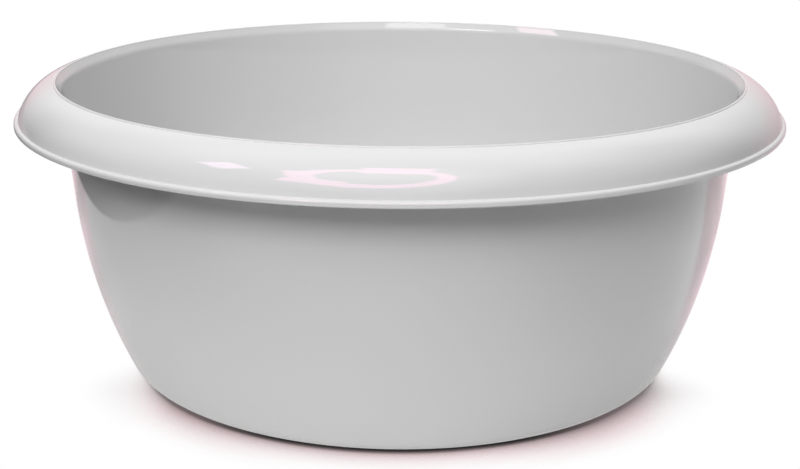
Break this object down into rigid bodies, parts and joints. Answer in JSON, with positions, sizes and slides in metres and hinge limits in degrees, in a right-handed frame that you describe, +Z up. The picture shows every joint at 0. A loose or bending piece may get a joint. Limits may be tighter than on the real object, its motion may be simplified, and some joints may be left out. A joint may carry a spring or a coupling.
{
  "type": "washing-up bowl",
  "caption": "Round glossy plastic washing-up bowl with a barrelled wall, a foot ring and a wide rolled rim that ends in a small flange, braced from below by thin webs.",
  "frame": {"origin": "centre of the plane that the foot ring rests on", "axes": "+Z up along the bowl's axis, out of its mouth; +X and +Y lie half way between two webs"},
  "size_m": [0.38, 0.38, 0.146],
  "materials": {
    "bowl_plastic": "glossy as moulded, light grey, with a faint orange peel"
  },
  "bodies": {
    "root": {"bowl": "bowl_plastic"}
  },
  "joints": []
}
